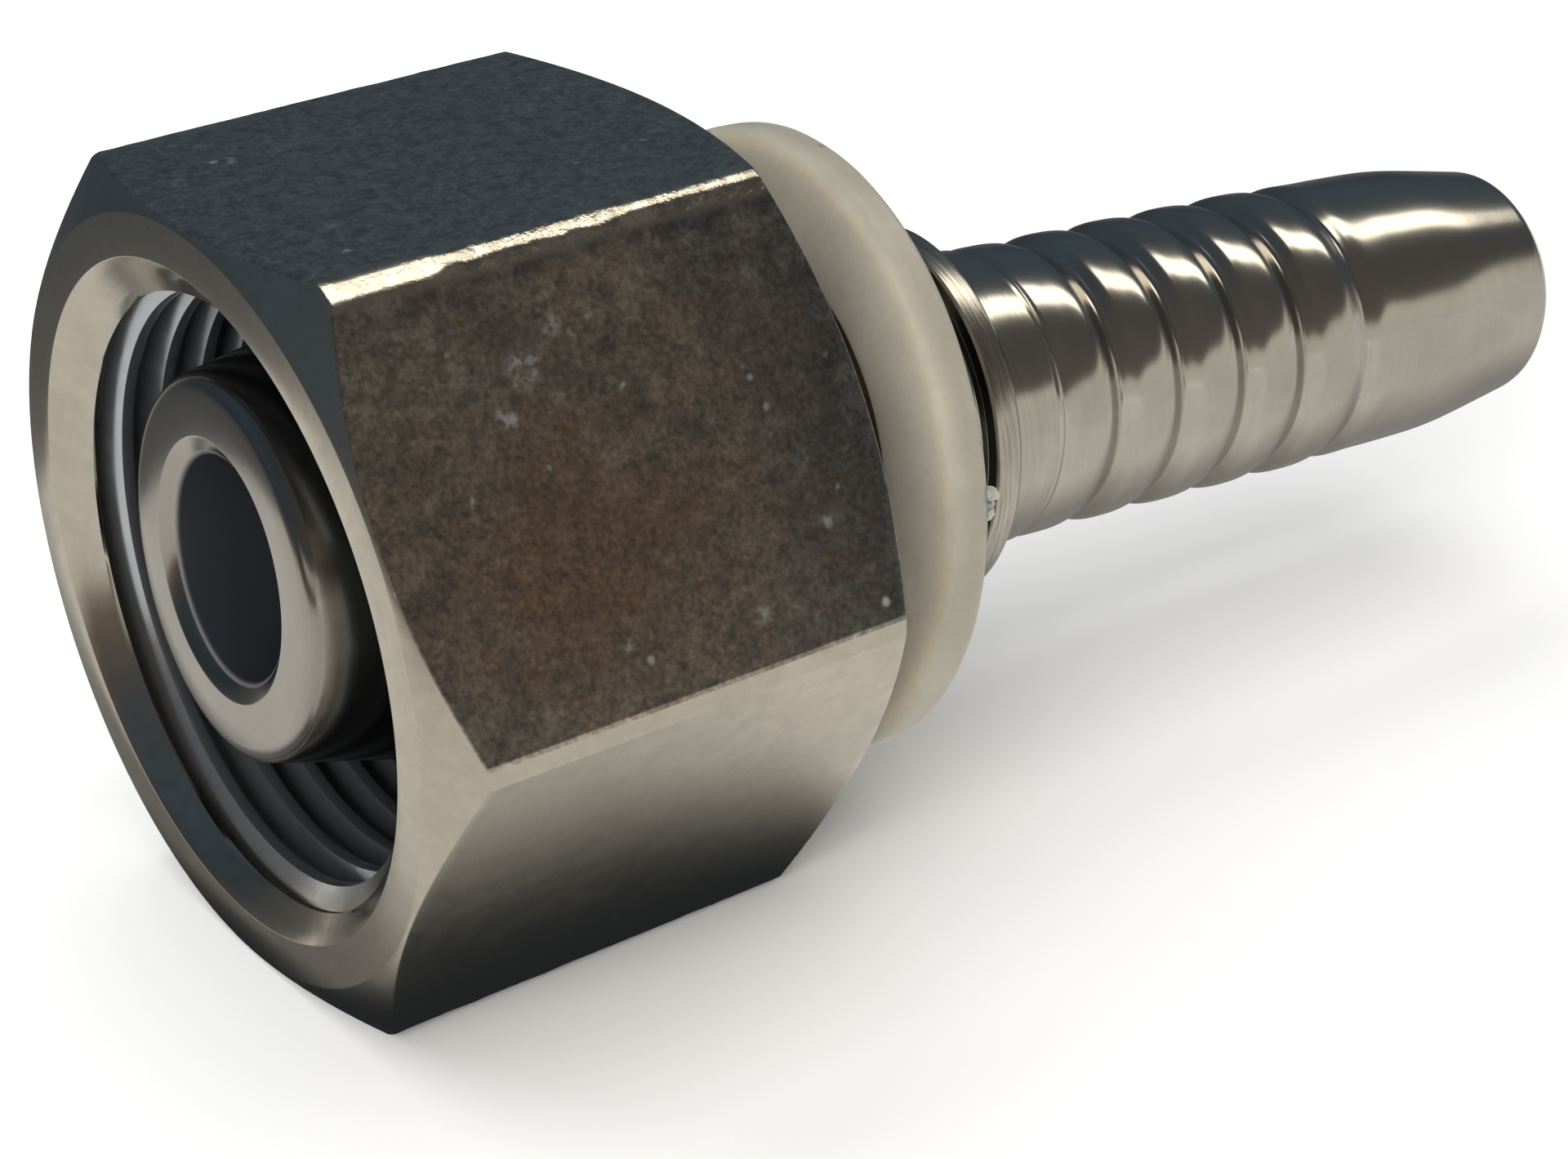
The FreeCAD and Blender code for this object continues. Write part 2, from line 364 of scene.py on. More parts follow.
    # the thread and what lies behind it are dull and bluish; the bluish colour is a painted blue tint of the shade in
    # there
    deep = t.math("MULTIPLY", t.ramp(t.math("MULTIPLY", rho, 50.0), [(0.545, 1.0), (0.57, 0.0)]),
                  t.ramp(t.math("MULTIPLY", x, 50.0), [(0.045, 0.0), (0.09, 1.0)]))
    col = t.mix(t.math("MULTIPLY", deep, 0.85), col, (0.38, 0.415, 0.46))
    t.link(col, t.b.inputs["Base Color"])
    t.link(t.math("SUBTRACT", 1.0, t.math("MULTIPLY", deep, 0.075)), t.b.inputs["Metallic"])
    r = t.ramp(blot, [(0.3, 0.30), (0.7, 0.22)])
    r = t.math("ADD", r, t.math("MULTIPLY", streak, 0.05))
    r = t.math("ADD", r, t.math("MULTIPLY", pin, 0.25))
    r = t.math("SUBTRACT", r, t.math("MULTIPLY", arris, 0.02))
    r = t.math("SUBTRACT", r, t.math("MULTIPLY", bore, 0.09))
    t.link(r, t.b.inputs["Roughness"])
    h = t.math("ADD", t.math("MULTIPLY", streak, 0.15), t.math("MULTIPLY", blot, 0.22))
    h = t.math("ADD", h, t.math("MULTIPLY", grain, 0.10))
    dents = t.ramp(t.voronoi(t.mapping(co, loc=(2, 3, 4)), 520), [(0.0, 0.0), (0.20, 1.0)])
    dpick = t.ramp(t.noise(co, 200, 2.0), [(0.47, 1.0), (0.55, 0.0)])
    dents = t.math("MAXIMUM", dents, dpick)
    h = t.math("ADD", h, t.math("MULTIPLY", dents, 0.9))
    h = t.math("MULTIPLY", h, off)
    h = t.math("ADD", h, t.math("MULTIPLY", bruise, 1.2))
    turned = t.math("ADD", t.math("MULTIPLY", bore, 0.9), 0.1)                 # the flats aren't turned
    h = t.math("ADD", h, t.math("MULTIPLY", t.math("MULTIPLY", rings, turned), 0.07))
    t.link(t.bump(h, 0.55, 0.00004), t.b.inputs["Normal"])
    return t.mat


def steel_nipple():
    t = Tree("nipple_steel_turned")
    co = t.co
    a = tuple(AXIS_D)
    rel = t.vmath("SUBTRACT", co, tuple(AXIS_O * MM))
    ax = t.vmath("DOT_PRODUCT", rel, a, out=1)
    full = t.vmath("LENGTH", rel, out=1)
    rad = t.math("SQRT", t.math("MAXIMUM", t.math("SUBTRACT", t.math("MULTIPLY", full, full),
                                                  t.math("MULTIPLY", ax, ax)), 0.0))
    # turning marks: they change fast along the axis, slowly round it
    rings = t.noise(t.combine(t.math("MULTIPLY", ax, 8200), t.math("MULTIPLY", rad, 8200), 0.0), 1.0, 3.0, 0.65)
    turn = t.noise(t.mapping(co, scale=(6200, 330, 330), rot=(0, -0.07, 0.033)), 1.0, 3.0, 0.6)
    coarse = t.ramp(t.math("MULTIPLY", ax, 10.0), [(0.14, 0.0), (0.19, 1.0), (0.288, 1.0), (0.2905, 0.16),
                                                   (0.32, 0.10), (0.34, 0.03)])
    blot = t.noise(co, 330, 5.0, 0.6, 0.4)
    col = t.ramp(blot, [(0.30, (0.365, 0.345, 0.30)), (0.5, (0.405, 0.383, 0.337)), (0.72, (0.44, 0.418, 0.37))])
    streaks = t.math("MULTIPLY", t.ramp(turn, [(0.44, 0.0), (0.62, 0.62)]), t.math("ADD", coarse, 0.05))
    col = t.mix(streaks, col, (0.20, 0.18, 0.155))
    # the nose's face and its cone, inside the nut's mouth, are painted darker as shade there; the bore is painted
    # near-black and dull as shade
    face = t.ramp(t.math("MULTIPLY", ax, 50.0), [(0.045, 1.0), (0.060, 0.0)])
    cone = t.math("MULTIPLY", t.ramp(t.math("MULTIPLY", rad, 50.0), [(0.318, 0.0), (0.340, 1.0)]),
                  t.ramp(t.math("MULTIPLY", ax, 50.0), [(0.50, 1.0), (0.56, 0.0)]))
    col = t.mix(t.math("MULTIPLY", face, 0.75), col, (0.265, 0.258, 0.242))
    col = t.mix(t.math("MULTIPLY", cone, 0.85), col, (0.175, 0.173, 0.170))
    # painted shadow: a dark line along the collar's rear edge, where it meets the neck
    collar_foot_shadow = t.ramp(t.math("MULTIPLY", t.math("ABSOLUTE", t.math("SUBTRACT", ax, 0.02890)), 1000.0), [(0.06, 0.85), (0.30, 0.0)])
    col = t.mix(collar_foot_shadow, col, (0.10, 0.095, 0.09))
    # painted shade: the groove in front of the collar is coloured near-black
    groove_shade = t.ramp(t.math("MULTIPLY", t.math("ABSOLUTE", t.math("SUBTRACT", ax, 0.02737)), 1000.0), [(0.26, 0.9), (0.34, 0.0)])
    col = t.mix(groove_shade, col, (0.07, 0.068, 0.066))
    # painted shade: the bore's inside is coloured near-black and made dull
    bore_shade_mask = t.ramp(t.math("MULTIPLY", rad, 50.0), [(0.197, 1.0), (0.203, 0.0)])
    col = t.mix(bore_shade_mask, col, (0.016, 0.0185, 0.0225))
    speck = t.voronoi(co, 1300)
    pin = t.math("MULTIPLY", t.ramp(speck, [(0.0, 1.0), (0.12, 0.0)]),
                 t.ramp(t.noise(co, 600, 2.0), [(0.62, 0.0), (0.68, 0.7)]))
    col = t.mix(pin, col, (0.14, 0.10, 0.075))
    t.link(col, t.b.inputs["Base Color"])
    t.link(t.math("SUBTRACT", 1.0, bore_shade_mask), t.b.inputs["Metallic"])
    r = t.ramp(blot, [(0.3, 0.185), (0.7, 0.135)])
    r = t.math("ADD", r, t.math("MULTIPLY", bore_shade_mask, 0.35))
    band = t.ramp(t.math("MULTIPLY", ax, 10.0), [(0.274, 0.0), (0.276, 1.0), (0.2885, 1.0), (0.2890, 0.0)])
    r = t.math("ADD", r, t.math("MULTIPLY", band, 0.07))
    r = t.math("ADD", r, t.math("MULTIPLY", turn, 0.04))
    t.link(r, t.b.inputs["Roughness"])
    amp = t.math("ADD", t.math("MULTIPLY", coarse, 0.8), 0.03)
    h = t.math("MULTIPLY", t.math("ADD", rings, t.math("MULTIPLY", turn, 1.5)), amp)
    h = t.math("ADD", h, t.math("MULTIPLY", blot, 0.07))
    t.link(t.bump(h, 0.5, 0.00003), t.b.inputs["Normal"])
    return t.mat


def nylon():
    t = Tree("ring_nylon")
    co = t.co
    cloud = t.noise(co, 190, 5.0, 0.6, 0.5)
    col = t.ramp(cloud, [(0.3, (0.325, 0.305, 0.255)), (0.5, (0.37, 0.35, 0.295)), (0.72, (0.41, 0.39, 0.335))])
    rel = t.vmath("SUBTRACT", co, tuple(AXIS_O * MM))
    ax = t.vmath("DOT_PRODUCT", rel, tuple(AXIS_D), out=1)
    full = t.vmath("LENGTH", rel, out=1)
    rad = t.math("SQRT", t.math("MAXIMUM", t.math("SUBTRACT", t.math("MULTIPLY", full, full),
                                                  t.math("MULTIPLY", ax, ax)), 0.0))
    rim = t.ramp(t.math("MULTIPLY", rad, 50.0), [(0.555, 0.0), (0.577, 1.0)])
    # painted light and shade: the ring's faces are coloured lighter and its outer rim darker
    col = t.mix(1.0, col, t.mix(rim, (1.28, 1.28, 1.27), (0.79, 0.785, 0.775)), "MULTIPLY")
    grainy = t.ramp(t.noise(t.mapping(co, loc=(3, 3, 8)), 2600, 4.0, 0.7), [(0.32, (0.955, 0.955, 0.95)), (0.68, (1.035, 1.035, 1.04))])
    col = t.mix(1.0, col, grainy, "MULTIPLY")
    speck = t.voronoi(t.mapping(co, loc=(1, 2, 3)), 700)
    pin = t.math("MULTIPLY", t.ramp(speck, [(0.0, 1.0), (0.08, 0.8), (0.14, 0.0)]),
                 t.ramp(t.noise(co, 330, 2.0), [(0.55, 0.0), (0.60, 1.0)]))
    col = t.mix(t.math("MULTIPLY", pin, 0.75), col, (0.12, 0.09, 0.06))
    t.link(col, t.b.inputs["Base Color"])
    t.b.inputs["Subsurface Weight"].default_value = 0.9
    t.b.inputs["Subsurface Radius"].default_value = (1.0, 0.85, 0.6)
    t.b.inputs["Subsurface Scale"].default_value = 0.0028
    t.link(t.ramp(cloud, [(0.3, 0.55), (0.7, 0.38)]), t.b.inputs["Roughness"])
    t.b.inputs["IOR"].default_value = 1.53
    tooth = t.noise(t.mapping(co, loc=(2, 7, 1)), 3200, 3.0, 0.65)
    h = t.math("ADD", t.noise(co, 900, 3.0, 0.6), t.math("MULTIPLY", cloud, 1.5))
    h = t.math("ADD", h, t.math("MULTIPLY", tooth, 0.35))
    t.link(t.bump(h, 0.35, 0.00005), t.b.inputs["Normal"])
    return t.mat


MAT_NUT = steel_nut()
MAT_NIP = steel_nipple()
MAT_RING = nylon()


# ------------------------------------------------------------------ union nut
SHARP_R = AF / 2 / math.cos(math.radians(30))              # the bar's corner before it is broken
HALF_SIDE = AF / 2 * math.tan(math.radians(30))
HALF_W = math.sqrt(CORNER_R ** 2 - (AF / 2) ** 2)
EDGE_D = math.atan2(HALF_W, AF / 2)                        # from the flat's normal
CORNER_P = CORNER_R * math.cos(math.radians(30) - EDGE_D)  # distance of the corner's narrow flat


def corner_p(k, x):
    """Distance of the narrow flat across corner k (at 60 k degrees from +Y) at station x."""
    if k in (0, 3):
        return CORNER_P
    n = noise.noise(Vector((x * 0.9, 3.1 * k, 0.0))) * 0.022 + noise.noise(Vector((x * 2.6, 5.7 * k, 2.0))) * 0.012
    if k == 2:
        # worn wide at the mouth end, a nick, then a thin uneven line
        def step(e0, e1):
            q = min(max((x - e0) / (e1 - e0), 0.0), 1.0)
            return q * q * (3 - 2 * q)
        p = 15.325 + 0.110 * step(4.6, 5.7) + 0.045 * step(11.0, 13.0)
        p -= 0.055 * math.exp(-((x - 6.1) / 0.42) ** 2)
        p += 0.045 * math.exp(-((x - 5.45) / 0.25) ** 2)
        p -= 0.045 * math.exp(-((x - 9.3) / 0.30) ** 2)
        p -= 0.030 * math.exp(-((x - 10.7) / 0.35) ** 2)
        p -= 0.030 * math.exp(-((x - 17.0) / 0.5) ** 2)
        return min(p + n, 15.515)
    return min(15.40 + n * 1.3, 15.47)


def half_side(k, x):
    return HALF_SIDE - 2 * (SHARP_R - corner_p(k, x))


def on_flat(k, t):
    """Point (y, z) on the flat whose normal is at 90 + 60 k degrees from +Y, t along it."""
    a = math.radians(90 + 60 * k)
    return (AF / 2 * math.cos(a) - t * math.sin(a), AF / 2 * math.sin(a) + t * math.cos(a))


FLAT_U = [0.0, 0.006, 0.02] + [0.02 + 0.96 * j / 26 for j in range(1, 26)] + [0.98, 0.994, 1.0]
CORNER_V = [0.2, 0.5, 0.8]


def nut_columns():
    """(flat, u) or (corner after the flat, v) in the order of growing angle."""
    cols = []
    for k in range(6):
        cols += [(k, "flat", u) for u in FLAT_U]
        cols += [(k, "corner", v) for v in CORNER_V]
    return cols


def outline(col, x):
    """Outline of the worn bar at a column and station, as (y, z)."""
    k, kind, u = col
    left, right = (k + 1) % 6, (k + 2) % 6                  # corners at 60 * index degrees
    if kind == "flat":
        hl, hr = half_side(left, x), half_side(right, x)
        return on_flat(k, -hl + (hl + hr) * u)
    p = on_flat(k, half_side(right, x))
    q = on_flat((k + 1) % 6, -half_side(right, x))
    y, z = p[0] + (q[0] - p[0]) * u, p[1] + (q[1] - p[1]) * u
    if right not in (0, 3):
        f = 1 + 0.0011 * math.sin(math.pi * u)
        y, z = y * f, z * f
    return y, z


def thread_r(x, a):
    """Internal right-hand thread: its radius at station x and angle a."""
    u = ((x - PHASE - PITCH * a / (2 * math.pi)) / PITCH) % 1.0
    d = abs(u - 0.5) * 2 * PITCH / 2          # axial distance from the groove's middle
    depth = ROOT_R - CREST_R
    flat = 0.11                                # half of the root's width
    flank = depth * math.tan(math.radians(30))
    if d <= flat:
        return ROOT_R
    if d <= flat + flank:
        return ROOT_R - (d - flat) / math.tan(math.radians(30))
    return CREST_R


def build_nut():
    cols = nut_columns()
    nc = len(cols)
    # helical rows of the thread, in the coordinate u = x - pitch * a / 2 pi
    per = [0.0, 0.14, 0.205, 0.22, 0.29, 0.36, 0.415, 0.43, 0.5, 0.57, 0.585, 0.64, 0.71, 0.78, 0.795, 0.86]
    us = []
    k = -3
    top = THREAD_END + 0.9
    while True:
        done = False
        for p in per:
            v = (k + p) * PITCH
            if v > top:
                done = True
                break
            us.append(v)
        if done:
            break
        k += 1
    x_in = 0.30
    x_out = THREAD_END + 0.45
    verts, faces = [], []
    rows = None
    for ci in range(nc + 1):
        col = cols[ci % nc]
        y0, z0 = outline(col, 0.3)
        y1, z1 = outline(col, NUT_LEN - 0.3)
        R0, R1 = math.hypot(y0, z0), math.hypot(y1, z1)
        a0, a1 = math.atan2(z0, y0), math.atan2(z1, y1)
        kk, kind, u = col
        a = math.radians(90 + 60 * kk)
        if kind == "flat":
            a += -EDGE_D + 2 * EDGE_D * u
        else:
            a += EDGE_D + 2 * (math.radians(30) - EDGE_D) * u
        if ci == nc:
            a += 2 * math.pi
        fx = SLOPE * (R0 - FACE_R)
        rx = NUT_LEN - SLOPE * (R1 - REAR_R)
        front = rounded([(0.0, MOUTH_R + 0.55, 0), (0.0, FACE_R, 0.08), (fx, R0, 0.12), (fx + 2.0, R0, 0)], 3)[:-1]
        rear = rounded([(rx - 2.0, R1, 0), (rx, R1, 0.12), (NUT_LEN, REAR_R, 0.10), (NUT_LEN, BORE_R + 0.9, 0)], 3)[1:]
        pts = []
        for x, r in front:
            pts.append((x, r * math.cos(a0), r * math.sin(a0)))
        xa, xb = front[-1][0], rear[0][0]
        nb = 46
        for j in range(1, nb):
            x = xa + (xb - xa) * j / nb
            pts.append((x,) + outline(col, x))
        for x, r in rear:
            pts.append((x, r * math.cos(a1), r * math.sin(a1)))
        # rear face, rear bore, seat, relief, back to the thread's end
        inner_path = rounded([
            (NUT_LEN, BORE_R + 0.9, 0), (NUT_LEN, BORE_R + 0.45, 0.08), (NUT_LEN - 0.45, BORE_R, 0.15),
            (SEAT_X + SEAT_R - BORE_R, BORE_R, 0.1), (SEAT_X, SEAT_R, 0.1), (SEAT_X, RELIEF_R - 0.4, 0.1),
            (RELIEF_END, RELIEF_R, 0.15), (THREAD_END + 0.55, RELIEF_R, 0.1), (x_out, RELIEF_R - 0.1, 0)], 3)
        # the thread, from its end back to the mouth
        th = []
        for u_ in reversed(us):
            x = u_ + PHASE + PITCH * a / (2 * math.pi)
            xc = min(max(x, x_in), x_out)
            r = thread_r(xc, a)
            r = max(r, MOUTH_R - xc * math.tan(math.radians(50)))
            # run-out into the relief
            r = max(r, min(RELIEF_R - 0.1, CREST_R + (xc - THREAD_END) * 2.2))
            th.append((xc, r))
        mouth = rounded([(x_in, MOUTH_R - x_in * math.tan(math.radians(50)), 0), (0.0, MOUTH_R, 0.07),
                         (0.0, MOUTH_R + 0.55, 0)], 3)
        for x, r in inner_path[1:] + th + mouth[1:-1]:
            pts.append((x, r * math.cos(a), r * math.sin(a)))
        if rows is None:
            rows = len(pts)
        assert len(pts) == rows, (len(pts), rows)
        verts += [Vector(p) for p in pts]
    n = rows
    for i in range(nc):
        for j in range(n):
            m = (j + 1) % n
            faces.append((i * n + j, i * n + m, (i + 1) * n + m, (i + 1) * n + j))
    return verts, faces


nv, nf = build_nut()
nut = new_object("union_nut", nv, nf, MAT_NUT, 34.0)
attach(nut, "nut")
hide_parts("swivel_nut")

# ------------------------------------------------------------------ hose nipple
V_X = [34.97, 38.0, 41.1, 44.1, 47.2]


def tail_r(x):
    """Barbs as low rounded swells; each ends in a fine line with a steep far side."""
    q = min(max((x - 46.0) / 3.5, 0.0), 1.0)
    r = 5.56 - 0.125 * q * q * (3 - 2 * q)
    if x > 50.0:
        r -= 0.019 * (x - 50.0) + 0.147 * 0.55 * math.log(1 + math.exp((x - 53.0) / 0.55))
    for i, v in enumerate(V_X):
        d = x - v
        deep = 0.41 if i < 4 else 0.28
        r -= deep * math.exp(-(d / (0.74 if d < 0 else 0.44)) ** 2)
        r -= 0.06 * max(0.0, 1 - abs(d) / 0.08)
    return r


outer = [
    (0.62, 4.50, 0), (0.60, 4.57, 0.04), (0.60, 6.55, 0.62), (9.2, 8.38, 0.05), (9.2, 9.0, 0.1), (9.5, 9.3, 0.15),
    (10.55, 9.3, 0.2), (12.72, 7.13, 0.2), (27.06, 7.13, 0.10), (27.06, 6.55, 0.04),
    (27.67, 6.55, 0.04), (27.67, 7.00, 0.03), (27.76, 7.11, 0.04), (28.66, 7.11, 0.06), (28.85, 6.93, 0.05),
    (28.85, 5.64, 0.22),
    (31.62, 5.61, 0.05), (31.74, 5.42, 0.06), (31.90, 5.49, 0.05), (32.06, 5.42, 0.06), (32.2, 5.50, 0.08)]
tail_x = [32.6, 33.0, 33.3]
for v in V_X:
    tail_x += [v + d for d in (-1.5, -1.3, -1.1, -0.95, -0.8, -0.65, -0.5, -0.38, -0.28, -0.18, -0.11, -0.08, -0.04,
                               0.0, 0.04, 0.08, 0.12, 0.18, 0.24, 0.31, 0.39, 0.48, 0.6, 0.75, 0.95, 1.2)]
tail_x += [48.8 + 0.4 * j for j in range(22)]
outer += [(x, tail_r(x), 0) for x in tail_x]
outer += [(57.52, tail_r(57.52), 0.45), (58.0, 4.22, 0.16),
          (58.0, 4.0, 0.05), (57.85, 3.87, 0.05), (57.0, 3.87, 0)]
inside = [(40.0, 3.87, 0), (20.0, 3.87, 0), (3.0, 3.87, 0), (1.05, 3.87, 0.05), (0.62, 4.50, 0)]
path = rounded(outer, 4)
path = split_long(path, 1.2) + rounded(inside, 3)[:-1]


def nip_wobble(j, x, r, a):
    # a whisker of out-of-round, as a turned and handled part has
    w = 0.002 * noise.noise(Vector((x * 0.35, 2.0 * math.cos(a), 2.0 * math.sin(a))))
    return x, r + w


nipple = lathe("nipple_body", path, 224, MAT_NIP, tipped, True, nip_wobble)
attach(nipple, "nipple")
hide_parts("hose_nipple")

# ------------------------------------------------------------------ retaining ring
RX0, RX1, RR = 22.15, 24.05, 11.6
ring_path = rounded([
    (RX0 + 0.7, 7.20, 0), (RX0, 7.85, 0.18), (RX0 + 0.30, 11.35, 0.42), (RX0 + 0.62, RR, 0.5),
    (RX1 - 0.30, RR, 0.35), (RX1, RR - 0.40, 0.35), (RX1, 7.45, 0.15), (RX1 - 0.25, 7.20, 0.1),
    (RX0 + 0.75, 7.20, 0)], 5)
ring_path = split_long(ring_path, 0.35)


def ring_wobble(j, x, r, a):
    v = Vector((1.7 * math.cos(a), 1.7 * math.sin(a), r * 0.25))
    w = noise.noise(v * 1.3)
    f = max(0.0, (r - 7.5) / 4.1)
    r -= 0.05 * f * abs(w)
    x += 0.05 * f * noise.noise(v * 1.1 + Vector((5, 5, 5))) * (1 if x < 23.2 else 0.3)
    return x, r


def lump(x, r, el, sx, sr, st, seed):
    """A small irregular bead of moulding flash at station x, radius r, el degrees above level."""
    a = math.radians(180 - el)
    out, fac = [], []
    nu, nv_ = 20, 14
    for i in range(nv_ + 1):
        th = math.pi * i / nv_
        for j in range(nu):
            ph = 2 * math.pi * j / nu
            d = Vector((math.cos(th), math.sin(th) * math.cos(ph), math.sin(th) * math.sin(ph)))
            k = 1 + 0.34 * noise.noise(d * 1.4 + Vector((seed, 0, 0))) + 0.12 * noise.noise(d * 3.7 + Vector((0, seed, 0)))
            px, pr, pt = x + sx * d.x * k, r + sr * d.y * k, st * d.z * k
            out.append(tipped(Vector((px, pr * math.cos(a) - pt * math.sin(a), pr * math.sin(a) + pt * math.cos(a)))))
    for i in range(nv_):
        for j in range(nu):
            fac.append((i * nu + j, i * nu + (j + 1) % nu, (i + 1) * nu + (j + 1) % nu, (i + 1) * nu + j))
    return out, fac


flash = [lump(24.02, 11.28, 9.8, 0.34, 0.30, 0.30, 1.0), lump(24.00, 11.20, 7.9, 0.26, 0.24, 0.22, 4.0),
         lump(24.03, 11.16, 6.2, 0.30, 0.26, 0.26, 7.0)]
ring = lathe("ring_moulding", ring_path, 288, MAT_RING, tipped, True, ring_wobble, flash)
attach(ring, "nipple")
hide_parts("retaining_ring")

# ------------------------------------------------------------------ floor
FLOOR_Z = -13.5 * MM


def floor_material():
    t = Tree("floor_pale")
    t.b.inputs["Base Color"].default_value = (0.93, 0.93, 0.925, 1)
    t.b.inputs["Roughness"].default_value = 0.9
    t.b.inputs["Specular IOR Level"].default_value = 0.1
    return t.mat


fm = bpy.data.meshes.new("floor_plane")
s = 3.0
fm.from_pydata([(-s, -s, FLOOR_Z - 1e-5), (s, -s, FLOOR_Z - 1e-5), (s, s, FLOOR_Z - 1e-5), (-s, s, FLOOR_Z - 1e-5)],
               [], [(0, 1, 2, 3)])
floor = bpy.data.objects.new("floor_plane", fm)
bpy.context.scene.collection.objects.link(floor)
fm.materials.append(floor_material())

# a plain pale wall all round, for low views; reflections and light pass it by
wall_v, wall_f = [], []
for i in range(64):
    a = 2 * math.pi * i / 64
    wall_v += [(0.95 * math.cos(a), 0.95 * math.sin(a), FLOOR_Z - 1e-4), (0.95 * math.cos(a), 0.95 * math.sin(a), 3.0)]
    j = (i + 1) % 64
    wall_f.append((2 * i, 2 * j, 2 * j + 1, 2 * i + 1))
wm = bpy.data.meshes.new("wall_pale")
wm.from_pydata(wall_v, [], wall_f)
wall = bpy.data.objects.new("wall_pale", wm)
bpy.context.scene.collection.objects.link(wall)
wt = Tree("wall_pale")
we = wt.nt.nodes.new("ShaderNodeEmission")
we.inputs["Color"].default_value = (0.99, 0.99, 0.985, 1)
wt.link(we.outputs[0], wt.out.inputs["Surface"])
wt.nt.nodes.remove(wt.b)
wm.materials.append(wt.mat)
wall.visible_glossy = False
wall.visible_diffuse = False
wall.visible_shadow = False
wall.visible_transmission = False
wall.visible_volume_scatter = False

# ------------------------------------------------------------------ camera
FIT = 13.33
rv = Vector((2.93597, -0.48894, 0.82792))
R = Matrix.Rotation(rv.length, 3, rv.normalized())
T = Vector((-1.41788, 0.06736, 8.72281))
FOCAL = 4311.0 / 1920.0 * 36.0
# axes of this frame in the frame that the view was worked out in
c30, s30 = math.cos(math.radians(30)), 0.5
B = Matrix(((1, 0, 0), (0, s30, c30), (0, -c30, s30)))      # columns: X, Y, Z
Rm = R @ B
loc = -(Rm.transposed() @ T) * FIT * MM
flip = Matrix(((1, 0, 0), (0, -1, 0), (0, 0, -1)))
cam_rot = Rm.transposed() @ flip
cam_data = bpy.data.cameras.new("view_camera")
cam = bpy.data.objects.new("view_camera", cam_data)
bpy.context.scene.collection.objects.link(cam)
cam.matrix_world = Matrix.Translation(loc) @ cam_rot.to_4x4()
cam_data.sensor_fit = "HORIZONTAL"
cam_data.sensor_width = 36.0
cam_data.lens = FOCAL
cam_data.clip_start = 0.005
cam_data.clip_end = 20.0
bpy.context.scene.camera = cam

# ------------------------------------------------------------------ light
def area(name, loc_, target, size, power, color, glossy=True, shape="RECTANGLE", size_y=None):
    d = bpy.data.lights.new(name, "AREA")
    d.shape = shape
    d.size = size
    if shape in ("RECTANGLE", "ELLIPSE"):
        d.size_y = size_y or size
    d.energy = power
    d.color = color
    o = bpy.data.objects.new(name, d)
    bpy.context.scene.collection.objects.link(o)
    o.location = loc_
    o.rotation_mode = "QUATERNION"
    o.rotation_quaternion = (Vector(target) - Vector(loc_)).to_track_quat("-Z", "Y")
    o.visible_glossy = glossy
    return o


C = Vector((0.025, 0, 0))
over = Vector((0.42, 0.03, 0.90)).normalized()
lamp = area("lamp_over", C + Vector((0.92, 0.03, 0.90)), C, 1.74, 6.6, (1.0, 0.93, 0.80), True, "RECTANGLE", 0.31)
lamp.rotation_quaternion = (1, 0, 0, 0)          # a long strip over the fitting, along it, facing down
lamp.visible_diffuse = False                     # gives the highlights; the wide lamp gives the light
wide = area("fill_wide", C + Vector((0.0, -0.20, 1.30)), C, 2.4, 12.0, (1.0, 0.985, 0.96), False, "RECTANGLE", 1.0)
wide.rotation_quaternion = (1, 0, 0, 0)
back = area("fill_back", C + Vector((0.0, 1.10, 1.15)), C, 2.4, 18.5, (1.0, 0.985, 0.965), False, "RECTANGLE", 1.2)


def card(name, corners, low, mid, high, z0, z1):
    """A studio card that only reflections see, its tone graded with height."""
    me = bpy.data.meshes.new(name)
    me.from_pydata([tuple(Vector(c) * MM) for c in corners], [], [(0, 1, 2, 3)])
    o = bpy.data.objects.new(name, me)
    bpy.context.scene.collection.objects.link(o)
    m = bpy.data.materials.new(name)
    m.use_nodes = True
    n = m.node_tree
    n.nodes.clear()
    out = n.nodes.new("ShaderNodeOutputMaterial")
    em = n.nodes.new("ShaderNodeEmission")
    tex = n.nodes.new("ShaderNodeTexCoord")
    sep = n.nodes.new("ShaderNodeSeparateXYZ")
    rng_ = n.nodes.new("ShaderNodeMapRange")
    ramp = n.nodes.new("ShaderNodeValToRGB")
    n.links.new(tex.outputs["Object"], sep.inputs[0])
    n.links.new(sep.outputs["Z"], rng_.inputs["Value"])
    rng_.inputs["From Min"].default_value = z0 * MM
    rng_.inputs["From Max"].default_value = z1 * MM
    n.links.new(rng_.outputs[0], ramp.inputs["Fac"])
    ramp.color_ramp.elements[0].color = tuple(low) + (1,)
    ramp.color_ramp.elements[1].color = tuple(high) + (1,)
    ramp.color_ramp.elements.new(0.42).color = tuple(mid) + (1,)
    n.links.new(ramp.outputs[0], em.inputs["Color"])
    n.links.new(em.outputs[0], out.inputs["Surface"])
    me.materials.append(m)
    o.visible_camera = False
    o.visible_diffuse = False
    o.visible_shadow = False
    o.visible_transmission = False
    o.visible_volume_scatter = False
    return o


side_fill = area("fill_side", C + Vector((-1.05, -0.75, 0.42)), C, 1.2, 27.0, (1.0, 0.99, 0.97), False)


